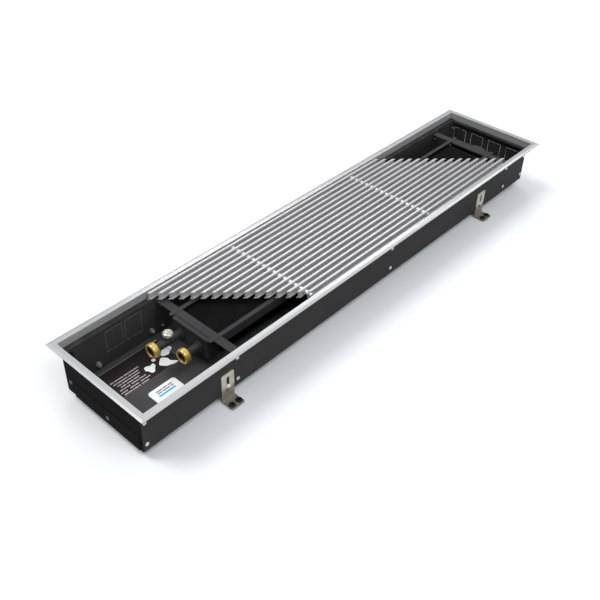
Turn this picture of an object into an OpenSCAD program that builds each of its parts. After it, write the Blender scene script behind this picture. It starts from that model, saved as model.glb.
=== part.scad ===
/* [Trench] */
// Overall length over the frame
length = 1100; // [1060:10:1800]
// Overall width over the frame
width = 232; // [228:2:260]
// Height from the underside of the tray to the top of the frame
tray_h = 92; // [90:1:130]
// Height of the underside of the tray above the floor
foot_gap = 15; // [10:0.5:18]
// Thickness of the folded sheet of the tray, the end walls and the crossbars
sheet = 1.5; // [1.2:0.1:1.8]
// Distance of the long walls inward from the outer edge of the frame
side_overhang = 21.8; // [20:0.2:23]
// Distance of the end walls inward from the outer edge of the frame
end_overhang = 11.7; // [11:0.1:13]
// Height of the outer flange that the floor turns up at each end
end_flange_h = 30; // [20:1:32]
// Distance of the end flange from the long wall on its near-screw side
flange_gap_a = 21.2; // [18:0.2:24]
// Distance of the end flange from the long wall on its other side
flange_gap_b = 8.2; // [6:0.2:12]
// Reach of the outward flange along the top of the long walls
flange_out = 10; // [8:0.5:11]
// Reach of the inward ledge along the top of the end walls
end_ledge = 7.6; // [7.2:0.1:9]
// Length of the side flanges of the end walls
side_flange = 17; // [14:1:20]

/* [Frame and seat] */
// Width of the top of the frame that shows around the grille
flange_w = 12.4; // [12:0.2:14]
// Thickness of the top of the frame
frame_top_t = 2; // [1.5:0.1:2.5]
// Thickness of the upright and the seat of the frame
frame_t = 1.5; // [1.2:0.1:1.8]
// Height of the lip along the outer edge of the frame
lip_h = 2.5; // [2.2:0.1:5]
// Width of the slope along the outer edge of the frame
edge_w = 4.4; // [3:0.1:5]
// Drop of that slope
edge_drop = 1.2; // [0.6:0.1:1.4]
// Width of the seat that carries the grille along the long sides
seat_w = 10.9; // [10.6:0.1:11.2]
// Width of the seat along the two ends
end_seat_w = 6.8; // [6:0.1:6.9]
// Thickness of the soft strip on the seat
strip_t = 1.5; // [1:0.1:2]
// Length of each arm of the corner keys
key_arm = 30; // [20:1:40]
// Thickness of the corner keys
key_t = 2; // [1.5:0.1:3]
// Room between a corner key and the sides of its channel
key_room = 0.7; // [0.5:0.1:1]
// Room around the soft strips
strip_room = 0.3; // [0.2:0.1:0.5]

/* [Grille] */
// Distance from bar to bar
bar_pitch = 12.6; // [12:0.1:12.6]
// Width of the top and the foot of a bar
bar_w = 5; // [4.5:0.1:5.5]
// Height of a bar
bar_h = 14; // [13:0.5:16]
// Thickness of the web of a bar
bar_web = 1.6; // [1.4:0.1:2]
// Thickness of the top and the foot of a bar
bar_flange = 1.5; // [1.2:0.1:1.6]
// Room between the feet of the bars and the spacers on the cross rods
spacer_room = 0.2; // [0.2:0.1:0.5]
// Room between the end spacers and the frame, taken from half the gap between bars
end_room_cut = 1; // [0.9:0.1:2]
// Sideways distance of the loose grille from the middle of the frame
grille_shift = 2.8; // [2:0.1:3.4]
// Least room between the cross rods of the grille and the frame
grille_room = 0.2; // [0.1:0.1:0.4]
// Distance from the near end of the frame to the slanting cut, on the middle line
near_cut = 285; // [280:1:288]
// Distance from the far end of the frame to the slanting cut, on the middle line
far_cut = 202.5; // [195:0.5:210]
// Distance of the first cross rod from the near end of the shortest bars
near_rod_in = 2.9; // [2.6:0.1:8]
// Distance of the second cross rod from the far end of the last bar
far_rod_in = 85.6; // [80:0.2:100]
// Radius of the cross rods
rod_r = 2; // [1.5:0.1:2]
// Radius of the spacers between the bars
spacer_r = 4.5; // [4:0.1:4.6]

/* [Convector] */
// Distance from the near end of the frame to the middle of the first crossbar
near_bay = 205; // [200:1:212]
// Distance from the far end of the frame to the middle of the last crossbar
far_bay = 91; // [90:1:100]
// Width of a crossbar
crossbar_w = 16; // [14:1:18]
// Drop from the underside of the grille to the top of the rails
rail_drop = 4; // [3.5:0.5:6]
// Sheet thickness of the shaft plates
plate_t = 1; // [0.8:0.1:1.2]
// Width of the rail along the top of a shaft plate
rail_w = 8; // [7:0.5:9]
// Room between the fins and the shaft plates
fin_room = 2; // [1.5:0.5:3]
// Height of a shaft plate
web_h = 18; // [14:1:22]
// Height of the fins
fin_h = 38; // [34:1:38]
// Width of the fins
fin_w = 96; // [90:1:100]
// Thickness of a fin
fin_t = 0.5; // [0.4:0.1:0.8]
// Distance from fin to fin
fin_pitch = 6; // [5:0.5:10]
// Length of the end covers along the convector
cover_len = 24; // [22:1:26]
// Width of the end covers
cover_w = 87; // [80:1:90]
// Height of the end covers
cover_h = 39.5; // [38:0.5:42]
// Outer radius of the water tubes
tube_r = 7.5; // [7:0.1:8]
// Wall thickness of the water tubes
tube_t = 1; // [0.8:0.1:1.2]
// Distance between the axes of the two water tubes
tube_gap = 45; // [42:1:48]
// Wall thickness of the collars on which the fins sit
collar_t = 0.8; // [0.6:0.1:1]
// Outer corner radius of the end covers
cover_round = 4; // [3:0.5:6]
// Room around the tubes where they pass through the end covers
cover_room = 0.6; // [0.4:0.1:1]
// Length of the sleeves of the return bend over the tube ends
sleeve_len = 12; // [8:1:16]

/* [Connections] */
// Outer radius of the brass sockets
socket_r = 13.5; // [12.5:0.1:14.5]
// Radius of the bore for the inside thread of the sockets
thread_r = 9.3155; // [9:0.0005:9.6]
// Depth of the bore for the inside thread
thread_len = 10; // [9:0.5:12]
// Length of the seat where a socket holds its tube
seat_len = 3; // [2:0.5:5]
// Radius of the rounded rim of a socket
socket_rim = 3.4; // [2.8:0.1:3.6]
// Reach of the flow socket beyond the near end cover
flow_reach = 64.5; // [58:0.5:66]
// Reach of the return socket beyond the near end cover
return_reach = 38.5; // [32:0.5:40]
// Distance of the vent from the near end cover
vent_reach = 26; // [23:1:29]
// Radius of the head of the vent
vent_r = 9.5; // [8:0.1:9.8]
// Height of the head of the vent
vent_h = 6; // [5.5:0.1:8]
// Radius of the turning vent screw
vent_screw_r = 2.5; // [2.2:0.1:2.8]
// Radius of the boss under the vent
boss_r = 6; // [5.5:0.1:6.5]
// Height of the boss above the top of the tube
boss_h = 5; // [2.2:0.1:5.5]
// Radius of the plug of the vent inside its boss
plug_r = 4; // [3.6:0.1:4.2]

/* [Brackets] */
// Distance of the near brackets outward from the middle of the first crossbar
bracket_beside = 23; // [19:1:24]
// Distance of the far brackets from the far end of the frame
bracket_inset = 184; // [182:1:186]
// Width of a bracket
bracket_w = 27; // [26:1:32]
// Sheet thickness of a bracket
bracket_t = 2; // [1.8:0.1:2.2]
// Radius of the corners of a bracket
bracket_round = 3; // [2:0.5:4]
// Height of the top of a bracket above the underside of the tray
bracket_up = 43; // [42:1:46]
// Reach of the foot outward from the long wall
foot_reach = 26; // [25.5:0.5:30]
// Width of the height slot
slot_w = 6; // [5.8:0.1:6.4]
// Lower end of the height slot above the underside of the tray
slot_low = 5; // [4:0.5:5]
// Upper end of the height slot above the underside of the tray
slot_high = 36; // [35:0.5:38]
// Height of the clamp screw above the underside of the tray
clamp_up = 16; // [15.5:0.5:17]
// Radius of the clamp screw
clamp_r = 2.5; // [2.3:0.1:2.5]
// Room between the two rubber dampers of a foot
damper_gap = 3; // [1:0.5:3]
// Radius of the floor screw holes through the rubber
floor_hole_r = 2.75; // [2.5:0.05:2.9]
// Radius of the rubber dampers
damper_r = 6; // [5.5:0.1:6.4]
// Thickness of the rubber under and over the foot
damper_t = 2; // [1.5:0.1:2.5]
// Radius of the waist of the rubber dampers
waist_r = 4; // [3.6:0.1:4.2]
// Distance of the damper axes inward from the outer edge of the foot
damper_edge = 8.2; // [7:0.1:9]

/* [Wall details] */
// Width of the slots around the knock-out panels
cut_w = 0.5; // [0.4:0.1:1]
// Room between the back wall panels and the top flange of that wall
panel_drop = 3.5; // [2:0.5:5]
// Room between the far end wall panels and the top of that wall
end_panel_drop = 12; // [8:0.5:14]
// Height of the underside of the panels above the underside of the tray
panel_up = 28; // [27:0.5:29.5]
// Width of the knock-out panels in the far end wall
end_panel_w = 31; // [28:0.5:32]
// Distance between the middles of two knock-out panels in the far end wall
end_panel_pitch = 45.5; // [40:0.5:46]
// Distance of the row of knock-out panels in the far end wall toward the back
end_panel_shift = 5; // [0:0.5:5]
// Width of the knock-out panels in the back wall
side_panel_w = 34; // [30:0.5:35]
// Strip between the two knock-out panels in the back wall
side_panel_gap = 5; // [4:0.5:6]
// Distance from the near end of the frame to the first back wall panel
side_panel_x = 108.5; // [105:0.5:110]
// Radius of the wall screws
screw_r = 1.9; // [1.7:0.05:2]
// Radius of the heads of the wall screws
screw_head_r = 3.5; // [3:0.1:4]
// Drop from the top of the walls to the upper wall screws
screw_drop = 15; // [13:1:19]
// Height of the lower wall screws above the underside of the tray
screw_low = 15; // [14:1:16]
// Distance of the outer wall screws from the ends of the long walls
corner_inset = 6.8; // [6:0.1:8]
// Distance from the near end of the frame to the earth stud
earth_x = 70.5; // [68:0.5:74]
// Distance of the side screw of an end wall from the inside of the long wall
end_screw_in = 11.7; // [10:0.1:13]
// Height of the side screw of an end wall above the underside of the tray
end_screw_up = 25; // [24:0.5:25.5]
// Thickness of the printed film and the label
film_t = 0.25; // [0.1:0.05:0.4]
// Length of the printed film
film_l = 137; // [120:1:140]
// Width of the printed film
film_w = 68.5; // [60:0.5:74]
// Distance of the printed film from the back wall
film_gap = 10.7; // [9:0.1:13]
// Length of the blank label
label_l = 55; // [50:1:60]
// Width of the blank label
label_w = 42; // [36:1:50]

/* [Hidden] */
$fn = 48;
half_l = length / 2;
half_w = width / 2;
wall_y = half_w - side_overhang;
wall_x = half_l - end_overhang;
inner_y = wall_y - sheet;
inner_x = wall_x - sheet;
rim_y = half_w - flange_w;
rim_x = half_l - flange_w;
seat_y = rim_y - seat_w;
z_tray = foot_gap;
z_floor = z_tray + sheet;
z_top = z_tray + tray_h;
z_grille = z_top - bar_h;
z_strip = z_grille - strip_t;
z_seat = z_strip - frame_t;
z_wall = z_seat - sheet;
z_rail = z_grille - rail_drop;
z_bar = z_rail - plate_t;
z_cover = z_bar - sheet;
z_fin = z_cover - sheet - 1 - fin_h;
z_tube = z_fin + fin_h / 2;
near_bar_x = near_bay - half_l;
far_bar_x = half_l - far_bay;
mid_bar_x = (near_bar_x + far_bar_x) / 2;
near_cover_x = near_bar_x + crossbar_w / 2 - cover_len;
far_cover_x = far_bar_x - crossbar_w / 2 + cover_len;
fin_x0 = near_cover_x + cover_len + 2;
fin_count = floor((far_cover_x - cover_len - 2 - fin_x0) / fin_pitch);
bend_x = far_cover_x + 5;
rail_y = fin_w / 2 + fin_room + plate_t;
flow_x = near_cover_x - flow_reach;
return_x = near_cover_x - return_reach;
vent_x = near_cover_x - vent_reach;
eps = 0.01;
over = 1;
fit = 0.05;
screw_fit = 0.1;
screw_head_h = 2.2;
screw_len = 6;
clamp_head_r = 4.8;
clamp_head_h = 3;
clamp_len = 10;
washer_r = 5;
washer_t = 1;
nut_r = 4.6;
nut_h = 4;
stud_end = 3;
drive_w = 0.8;
drive_depth = 1;
flange_y0 = flange_gap_b - wall_y;
flange_y1 = wall_y - flange_gap_a;
flange_screw_y = -12;
end_screw_y = inner_y - end_screw_in;
side_panel_h = z_wall - panel_drop - z_tray - panel_up;
end_panel_h = z_wall - end_panel_drop - z_tray - panel_up;
side_panel_pitch = side_panel_w + side_panel_gap;
tab_w = 3;
film_x0 = 45;
film_y1 = inner_y - film_gap;
label_x0 = 89;
label_y1 = -6.5;
label_round = 5.5;
plate_room = 0.5;
near_clamp_x = near_bar_x - bracket_beside;
far_clamp_x = half_l - bracket_inset;
flow_y = tube_gap / 2;
vent_z = z_tube + tube_r + boss_h;
end_room = (bar_pitch - bar_web) / 2 - end_room_cut;
bar_span = rim_y - grille_shift - grille_room - bar_web / 2 - end_room;
bar_count = floor(2 * bar_span / bar_pitch) + 1;
rod_z = z_grille + bar_flange + spacer_room + spacer_r;
damper_y = damper_edge - wall_y - foot_reach;
hole_gap = 2 * damper_r + damper_gap;
near_rod_x = near_cut - half_l - bar_y(0) + near_rod_in;
far_rod_x = half_l - far_cut - bar_y(bar_count - 1) - far_rod_in;

// Places its children on the front and, mirrored, on the back
module both_sides() {
    children();
    mirror([0, 1, 0]) children();
}

// Cylinder along X that starts at x0
module rod_x(x0, len, r) {
    translate([x0, 0, 0]) rotate([0, 90, 0]) cylinder(h = len, r = r);
}

// Cylinder that runs from y0 toward the middle of the object on the front side
module rod_y(y0, len, r) {
    translate([0, y0, 0]) rotate([-90, 0, 0]) cylinder(h = len, r = r);
}

// Places of the wall screws: along the length and up
module at_wall_screws() {
    for (x = [corner_inset - wall_x, near_bar_x, mid_bar_x, far_bar_x, wall_x - corner_inset])
        for (z = [z_tray + screw_low, z_seat - screw_drop])
            translate([x, 0, z]) children();
}

// Places of the bracket clamp screws
module at_clamps() {
    for (x = [near_clamp_x, far_clamp_x])
        translate([x, 0, z_tray + clamp_up]) children();
}

// Slots around one knock-out panel in a sheet that lies in the XZ plane, held by bottom tabs
module panel_slots(w, h, depth) {
    seg = (w - 2 * tab_w) / 3;
    translate([-w / 2, -depth, 0]) cube([cut_w, 2 * depth, h]);
    translate([w / 2 - cut_w, -depth, 0]) cube([cut_w, 2 * depth, h]);
    translate([-w / 2, -depth, h - cut_w]) cube([w, 2 * depth, cut_w]);
    for (i = [0 : 2])
        translate([-w / 2 + i * (seg + tab_w), -depth, 0]) cube([seg, 2 * depth, cut_w]);
}

// Outer flange of the floor at the near end
module end_flange() {
    translate([-wall_x - sheet, flange_y0, z_tray])
        cube([sheet, flange_y1 - flange_y0, end_flange_h]);
    translate([-wall_x - eps, flange_y0, z_tray])
        cube([2 * eps, flange_y1 - flange_y0, sheet]);
}

// Hole for the screw that holds the end flange to the end wall
module flange_hole() {
    translate([-wall_x, flange_screw_y, z_tray + screw_low])
        rotate([0, 90, 0]) cylinder(h = 4 * sheet, r = screw_r + screw_fit, center = true);
}

// Place of the earth stud in the back wall
module at_earth() {
    translate([earth_x - half_l, 0, z_tray + screw_low]) mirror([0, 1, 0]) children();
}

// Long open tray: floor, two long walls with outward flanges, and an upturned flange at each end
module tray() {
    color([0.17, 0.17, 0.175])
    difference() {
        union() {
            translate([-wall_x, -wall_y, z_tray]) cube([2 * wall_x, 2 * wall_y, sheet]);
            both_sides() {
                translate([-wall_x, -wall_y, z_tray]) cube([2 * wall_x, sheet, z_seat - z_tray]);
                translate([-wall_x, -wall_y - flange_out, z_wall])
                    cube([2 * wall_x, flange_out + sheet, sheet]);
            }
            end_flange();
            rotate([0, 0, 180]) end_flange();
        }
        both_sides() {
            at_wall_screws() rod_y(-wall_y - over, sheet + 2 * over, screw_r + screw_fit);
            at_clamps() rod_y(-wall_y - over, sheet + 2 * over, clamp_r + screw_fit);
        }
        for (i = [0, 1])
            translate([side_panel_x - half_l + i * side_panel_pitch, inner_y, z_tray + panel_up])
                panel_slots(side_panel_w, side_panel_h, 2 * sheet);
        at_earth() rod_y(-wall_y - over, sheet + 2 * over, clamp_r + screw_fit);
        flange_hole();
        rotate([0, 0, 180]) flange_hole();
    }
}

// End wall of the near end: plate, side flanges and inward ledge
module end_wall_shape(panels) {
    difference() {
        union() {
            translate([-wall_x, -inner_y, z_floor]) cube([sheet, 2 * inner_y, z_seat - z_floor]);
            translate([-wall_x, -inner_y, z_wall]) cube([end_ledge, 2 * inner_y, sheet]);
            both_sides()
                translate([-inner_x - eps, -inner_y, z_floor + sheet])
                    cube([side_flange, sheet, z_wall - z_floor - 2 * sheet]);
        }
        both_sides()
            at_wall_screws() rod_y(-wall_y, 3 * sheet, screw_r + screw_fit);
        if (panels)
            for (i = [-1.5 : 1 : 1.5])
                translate([-inner_x, i * end_panel_pitch - end_panel_shift, z_tray + panel_up])
                    rotate([0, 0, 90]) panel_slots(end_panel_w, end_panel_h, 2 * sheet);
        flange_hole();
        translate([-wall_x, end_screw_y, z_tray + end_screw_up])
            rotate([0, 90, 0]) cylinder(h = 4 * sheet, r = screw_r + screw_fit, center = true);
    }
}

module near_end_wall() {
    color([0.15, 0.15, 0.155]) end_wall_shape(false);
}

module far_end_wall() {
    color([0.15, 0.15, 0.155]) rotate([0, 0, 180]) end_wall_shape(true);
}

// Section of the frame, drawn with the outer edge at x = 0 and the inside at positive x
module frame_section(seat) {
    polygon([[0, z_top - frame_top_t], [flange_w, z_top - frame_top_t], [flange_w, z_top],
        [edge_w, z_top], [0, z_top - edge_drop]]);
    translate([0, z_top - lip_h]) square([frame_t, lip_h - edge_drop]);
    translate([flange_w - frame_t, z_seat]) square([frame_t, z_top - z_seat]);
    translate([flange_w - frame_t, z_seat]) square([seat + frame_t, frame_t]);
}

// Mitred length of the frame along X, on the front side, for a frame of the given half sizes
module frame_side(hl, hw, seat) {
    depth = flange_w + seat;
    intersection() {
        translate([-hl, -hw, 0]) rotate([90, 0, 90]) linear_extrude(2 * hl) frame_section(seat);
        translate([0, 0, z_seat - over]) linear_extrude(z_top - z_seat + 2 * over)
            polygon([[-hl, -hw], [hl, -hw], [hl - depth - over, -hw + depth + over],
                [-hl + depth + over, -hw + depth + over]]);
    }
}

module frame_front() {
    color([0.8, 0.8, 0.8]) frame_side(half_l, half_w, seat_w);
}

module frame_back() {
    color([0.8, 0.8, 0.8]) rotate([0, 0, 180]) frame_side(half_l, half_w, seat_w);
}

module frame_near() {
    color([0.8, 0.8, 0.8]) rotate([0, 0, -90]) frame_side(half_w, half_l, end_seat_w);
}

module frame_far() {
    color([0.8, 0.8, 0.8]) rotate([0, 0, 90]) frame_side(half_w, half_l, end_seat_w);
}

// Flat angle pieces in the channel under the frame top, one in each corner
module corner_keys() {
    inset = flange_w / 2;
    key_w = flange_w - 2 * frame_t - 2 * key_room;
    color([0.62, 0.63, 0.64])
    for (sx = [0, 1])
        for (sy = [0, 1])
            mirror([sx, 0, 0]) mirror([0, sy, 0])
                translate([inset - half_l, inset - half_w, z_top - frame_top_t - key_t])
                    union() {
                        translate([-key_w / 2, -key_w / 2, 0]) cube([key_arm, key_w, key_t]);
                        translate([-key_w / 2, -key_w / 2, 0]) cube([key_w, key_arm, key_t]);
                    }
}

// Soft strips on the seat of the frame
module seat_strips() {
    color([0.2, 0.2, 0.2]) {
        both_sides()
            translate([strip_room - rim_x, strip_room - rim_y, z_strip])
                cube([2 * (rim_x - strip_room), seat_w - strip_room, strip_t]);
        for (s = [0, 180])
            rotate([0, 0, s])
                translate([strip_room - rim_x, strip_room - seat_y, z_strip])
                    cube([end_seat_w - strip_room, 2 * (seat_y - strip_room), strip_t]);
    }
}

// Bridge across the tray: flat top and a leg down each long wall
module crossbar(x) {
    color([0.26, 0.26, 0.265])
    difference() {
        translate([x - crossbar_w / 2, 0, 0]) union() {
            translate([0, -inner_y, z_bar - sheet]) cube([crossbar_w, 2 * inner_y, sheet]);
            both_sides()
                translate([0, -inner_y, z_floor]) cube([crossbar_w, sheet, z_bar - z_floor]);
        }
        both_sides()
            at_wall_screws() rod_y(-wall_y, 3 * sheet, screw_r + screw_fit);
    }
}

module near_crossbar() {
    crossbar(near_bar_x);
}

module middle_crossbar() {
    crossbar(mid_bar_x);
}

module far_crossbar() {
    crossbar(far_bar_x);
}

// Angle plate beside the fins, with its rail lying on the crossbars
module shaft_plate() {
    rail_x0 = near_cover_x;
    rail_x1 = far_cover_x;
    tip = rail_w / 2;
    color([0.25, 0.25, 0.255])
    difference() {
        union() {
            translate([rail_x0 + tip, -rail_y, z_bar])
                cube([rail_x1 - rail_x0 - tip, rail_w, plate_t]);
            translate([rail_x0 + tip, tip - rail_y, z_bar]) cylinder(h = plate_t, r = tip);
            translate([near_bar_x + crossbar_w / 2 + plate_room, -rail_y, z_rail - web_h])
                cube([far_bar_x - near_bar_x - crossbar_w - 2 * plate_room, plate_t, web_h]);
        }
        translate([mid_bar_x - crossbar_w / 2 - plate_room, -rail_y - over, z_rail - web_h - over])
            cube([crossbar_w + 2 * plate_room, plate_t + 2 * over, web_h + over - plate_t]);
    }
}

module front_shaft_plate() {
    shaft_plate();
}

module back_shaft_plate() {
    mirror([0, 1, 0]) shaft_plate();
}

// Outline of an end cover seen from above, closed end at x = 0
module cover_outline(inset) {
    r = cover_round - inset;
    w = cover_w / 2 - inset;
    translate([inset + r, -w]) square([cover_len - inset - r + (inset > 0 ? over : 0), 2 * w]);
    translate([inset, -w + r]) square([r + over, 2 * (w - r)]);
    for (s = [-1, 1])
        translate([inset + r, s * (w - r)]) circle(r = r);
}

// Box over the end of the convector, open toward the fins, with two holes in its closed end
module end_cover(hole_r) {
    difference() {
        translate([0, 0, z_cover - cover_h]) linear_extrude(cover_h) cover_outline(0);
        translate([0, 0, z_cover - cover_h + sheet])
            linear_extrude(cover_h - 2 * sheet) cover_outline(sheet);
        for (s = [-1, 1])
            translate([0, s * flow_y, z_tube]) rod_x(-over, sheet + 2 * over, hole_r);
    }
}

module near_end_cover() {
    color([0.24, 0.24, 0.245]) translate([near_cover_x, 0, 0]) end_cover(tube_r + cover_room);
}

module far_end_cover() {
    color([0.24, 0.24, 0.245]) translate([far_cover_x, 0, 0])
        mirror([1, 0, 0]) end_cover(tube_r + tube_t + cover_room);
}

// Row of fins on two long collars, with the bores for the tubes
module fin_pack() {
    pack_len = fin_count * fin_pitch;
    color([0.1, 0.1, 0.105])
    difference() {
        union() {
            for (i = [0 : fin_count - 1])
                translate([fin_x0 + (i + 0.5) * fin_pitch - fin_t / 2, -fin_w / 2, z_fin])
                    cube([fin_t, fin_w, fin_h]);
            for (s = [-1, 1])
                translate([0, s * flow_y, z_tube])
                    rod_x(fin_x0, pack_len, tube_r + fit + collar_t);
        }
        for (s = [-1, 1])
            translate([0, s * flow_y, z_tube])
                rod_x(fin_x0 - over, pack_len + 2 * over, tube_r + fit);
    }
}

// Water tube from a socket mouth to the return bend
module water_tube(mouth_x) {
    x0 = mouth_x + thread_len;
    x1 = bend_x - sheet;
    difference() {
        rod_x(x0, x1 - x0, tube_r);
        rod_x(x0 - over, x1 - x0 + 2 * over, tube_r - tube_t);
    }
}

module flow_tube() {
    color([0.22, 0.215, 0.215]) difference() {
        translate([0, flow_y, z_tube]) water_tube(flow_x);
        translate([vent_x, flow_y, z_tube]) cylinder(h = tube_r + over, r = plug_r / 2);
    }
}

module return_tube() {
    color([0.22, 0.215, 0.215]) translate([0, -flow_y, z_tube]) water_tube(return_x);
}

// Bend that joins the two tubes beyond the last crossbar, with a sleeve over each tube end
module return_bend() {
    sleeve_r = tube_r + tube_t;
    color([0.22, 0.215, 0.215]) difference() {
        union() {
            translate([bend_x - eps, 0, z_tube]) rotate([0, 0, -90])
                rotate_extrude(angle = 180) translate([flow_y, 0]) circle(r = tube_r);
            for (s = [-1, 1])
                translate([0, s * flow_y, z_tube]) rod_x(bend_x - sleeve_len, sleeve_len, sleeve_r);
        }
        translate([bend_x - eps, 0, z_tube]) rotate([0, 0, -90])
            rotate_extrude(angle = 180) translate([flow_y, 0]) circle(r = tube_r - tube_t);
        for (s = [-1, 1])
            translate([0, s * flow_y, z_tube]) {
                rod_x(bend_x - sleeve_len - over, sleeve_len + over - sheet, tube_r + fit);
                rod_x(bend_x - 2 * sheet, 2 * sheet, tube_r - tube_t);
            }
    }
}

// Section of a brass socket: radius across, mouth at zero height
module socket_section() {
    len = thread_len + seat_len;
    difference() {
        union() {
            translate([0, socket_rim]) square([socket_r, len - 2 * socket_rim]);
            square([socket_r - socket_rim, len]);
            for (z = [socket_rim, len - socket_rim])
                translate([socket_r - socket_rim, z]) circle(r = socket_rim);
        }
        translate([0, -over]) square([thread_r, thread_len + over]);
        square([tube_r + fit, len + over]);
    }
}

module socket(mouth_x, y) {
    color([0.8, 0.63, 0.3])
        translate([mouth_x, y, z_tube]) rotate([0, 90, 0])
            rotate_extrude() socket_section();
}

module flow_socket() {
    socket(flow_x, flow_y);
}

module return_socket() {
    socket(return_x, -flow_y);
}

// Short boss that seats the vent on the flow tube
module vent_boss() {
    top = tube_r + boss_h;
    color([0.22, 0.215, 0.215])
        translate([vent_x, flow_y, z_tube]) difference() {
            cylinder(h = top, r = boss_r);
            rod_x(-2 * boss_r, 4 * boss_r, tube_r);
            cylinder(h = top + over, r = plug_r);
        }
}

// Vent plug with a chamfered head, a bore for its screw and a small outlet
module vent_body() {
    chamfer = 1;
    plug_h = 2;
    outlet_r = 0.8;
    color([0.82, 0.8, 0.76])
        translate([vent_x, flow_y, vent_z]) difference() {
            union() {
                translate([0, 0, -plug_h]) cylinder(h = plug_h + eps, r = plug_r - fit);
                cylinder(h = vent_h - chamfer, r = vent_r);
                translate([0, 0, vent_h - chamfer])
                    cylinder(h = chamfer, r1 = vent_r, r2 = vent_r - chamfer);
            }
            translate([0, 0, -plug_h - over])
                cylinder(h = plug_h + vent_h + 2 * over, r = vent_screw_r + fit);
            translate([vent_r * 0.6, 0, vent_h - 2 * outlet_r])
                cylinder(h = 2 * outlet_r + over, r = outlet_r);
        }
}

// Vent screw with a slot across its top
module vent_screw() {
    proud = 1;
    slot_depth = 1.2;
    color([0.82, 0.8, 0.76])
        translate([vent_x, flow_y, vent_z]) difference() {
            cylinder(h = vent_h + proud, r = vent_screw_r);
            translate([-vent_screw_r - over, -drive_w / 2, vent_h + proud - slot_depth])
                cube([2 * (vent_screw_r + over), drive_w, slot_depth + over]);
        }
}

// Flat tongue that starts at y = 0, with its two far corners rounded
module tongue(w, len, r) {
    translate([-w / 2, 0]) square([w, len - r]);
    translate([r - w / 2, 0]) square([w - 2 * r, len]);
    for (s = [-1, 1])
        translate([s * (w / 2 - r), len - r]) circle(r = r);
}

// Bent bracket with a height slot and two holes for the rubber dampers, at the given place along X
module bracket(x) {
    t = bracket_t;
    bend_in = 1;
    bend = t + bend_in;
    leg_y = -wall_y - t;
    foot_z = damper_t;
    color([0.66, 0.65, 0.62])
    translate([x, 0, 0]) difference() {
        union() {
            translate([0, leg_y + t, foot_z + bend]) rotate([90, 0, 0])
                linear_extrude(t)
                    tongue(bracket_w, z_tray + bracket_up - foot_z - bend, bracket_round);
            translate([0, -wall_y - bend, foot_z]) mirror([0, 1, 0])
                linear_extrude(t) tongue(bracket_w, foot_reach - bend, bracket_round);
            translate([-bracket_w / 2, -wall_y - bend, foot_z + bend]) rotate([0, 90, 0])
                intersection() {
                    difference() {
                        cylinder(h = bracket_w, r = bend);
                        translate([0, 0, -over]) cylinder(h = bracket_w + 2 * over, r = bend_in);
                    }
                    cube([bend, bend, bracket_w]);
                }
        }
        translate([0, 0, z_tray]) {
            for (z = [slot_low + slot_w / 2, slot_high - slot_w / 2])
                translate([0, 0, z]) rod_y(leg_y - over, t + 2 * over, slot_w / 2);
            translate([-slot_w / 2, leg_y - over, slot_low + slot_w / 2])
                cube([slot_w, t + 2 * over, slot_high - slot_low - slot_w]);
        }
        for (s = [-1, 1])
            translate([s * hole_gap / 2, damper_y, foot_z - over])
                cylinder(h = t + 2 * over, r = waist_r);
    }
}

// Pair of rubber dampers in the foot of a bracket
module dampers(x) {
    color([0.07, 0.07, 0.07])
    for (s = [-1, 1])
        translate([x + s * hole_gap / 2, damper_y, 0]) difference() {
            union() {
                cylinder(h = damper_t, r = damper_r);
                cylinder(h = damper_t + bracket_t + over, r = waist_r - fit);
                translate([0, 0, damper_t + bracket_t]) cylinder(h = damper_t, r = damper_r);
            }
            translate([0, 0, -over])
                cylinder(h = 2 * (damper_t + over) + bracket_t, r = floor_hole_r);
        }
}

module bracket_front_near() {
    bracket(near_clamp_x);
}

module bracket_front_far() {
    bracket(far_clamp_x);
}

module bracket_back_near() {
    mirror([0, 1, 0]) bracket(near_clamp_x);
}

module bracket_back_far() {
    mirror([0, 1, 0]) bracket(far_clamp_x);
}

module dampers_front_near() {
    dampers(near_clamp_x);
}

module dampers_front_far() {
    dampers(far_clamp_x);
}

module dampers_back_near() {
    mirror([0, 1, 0]) dampers(near_clamp_x);
}

module dampers_back_far() {
    mirror([0, 1, 0]) dampers(far_clamp_x);
}

// Pan-head screw pointing to the middle of the object, head resting on the face at y0
module pan_screw(y0, head_r, head_h, shank_r, len) {
    edge = head_h * 0.55;
    drive = head_r * 0.9;
    difference() {
        union() {
            rod_y(y0 - edge, edge, head_r);
            translate([0, y0 - edge, 0]) rotate([90, 0, 0])
                cylinder(h = head_h - edge, r1 = head_r, r2 = head_r * 0.6);
            rod_y(y0 - eps, len, shank_r);
        }
        for (a = [0, 90])
            translate([0, y0 - head_h - over, 0]) rotate([0, a, 0])
                translate([-drive / 2, 0, -drive_w / 2]) cube([drive, over + drive_depth, drive_w]);
    }
}

// Washer and hexagon nut on the inside of the front wall, with the given bore
module nut_set(bore_r) {
    difference() {
        union() {
            rod_y(-inner_y, washer_t, washer_r);
            translate([0, washer_t - inner_y - eps, 0]) rotate([-90, 0, 0])
                cylinder(h = nut_h, r = nut_r, $fn = 6);
        }
        rod_y(-inner_y - over, washer_t + nut_h + 2 * over, bore_r);
    }
}

module clamp_screws() {
    color([0.8, 0.8, 0.78])
    both_sides() at_clamps()
        pan_screw(-wall_y - bracket_t, clamp_head_r, clamp_head_h, clamp_r, clamp_len);
}

module clamp_nuts() {
    color([0.72, 0.72, 0.7])
    both_sides() at_clamps() nut_set(clamp_r + fit);
}

module wall_screws() {
    color([0.85, 0.85, 0.83])
    both_sides() at_wall_screws()
        pan_screw(-wall_y, screw_head_r, screw_head_h, screw_r, screw_len);
}

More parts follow.
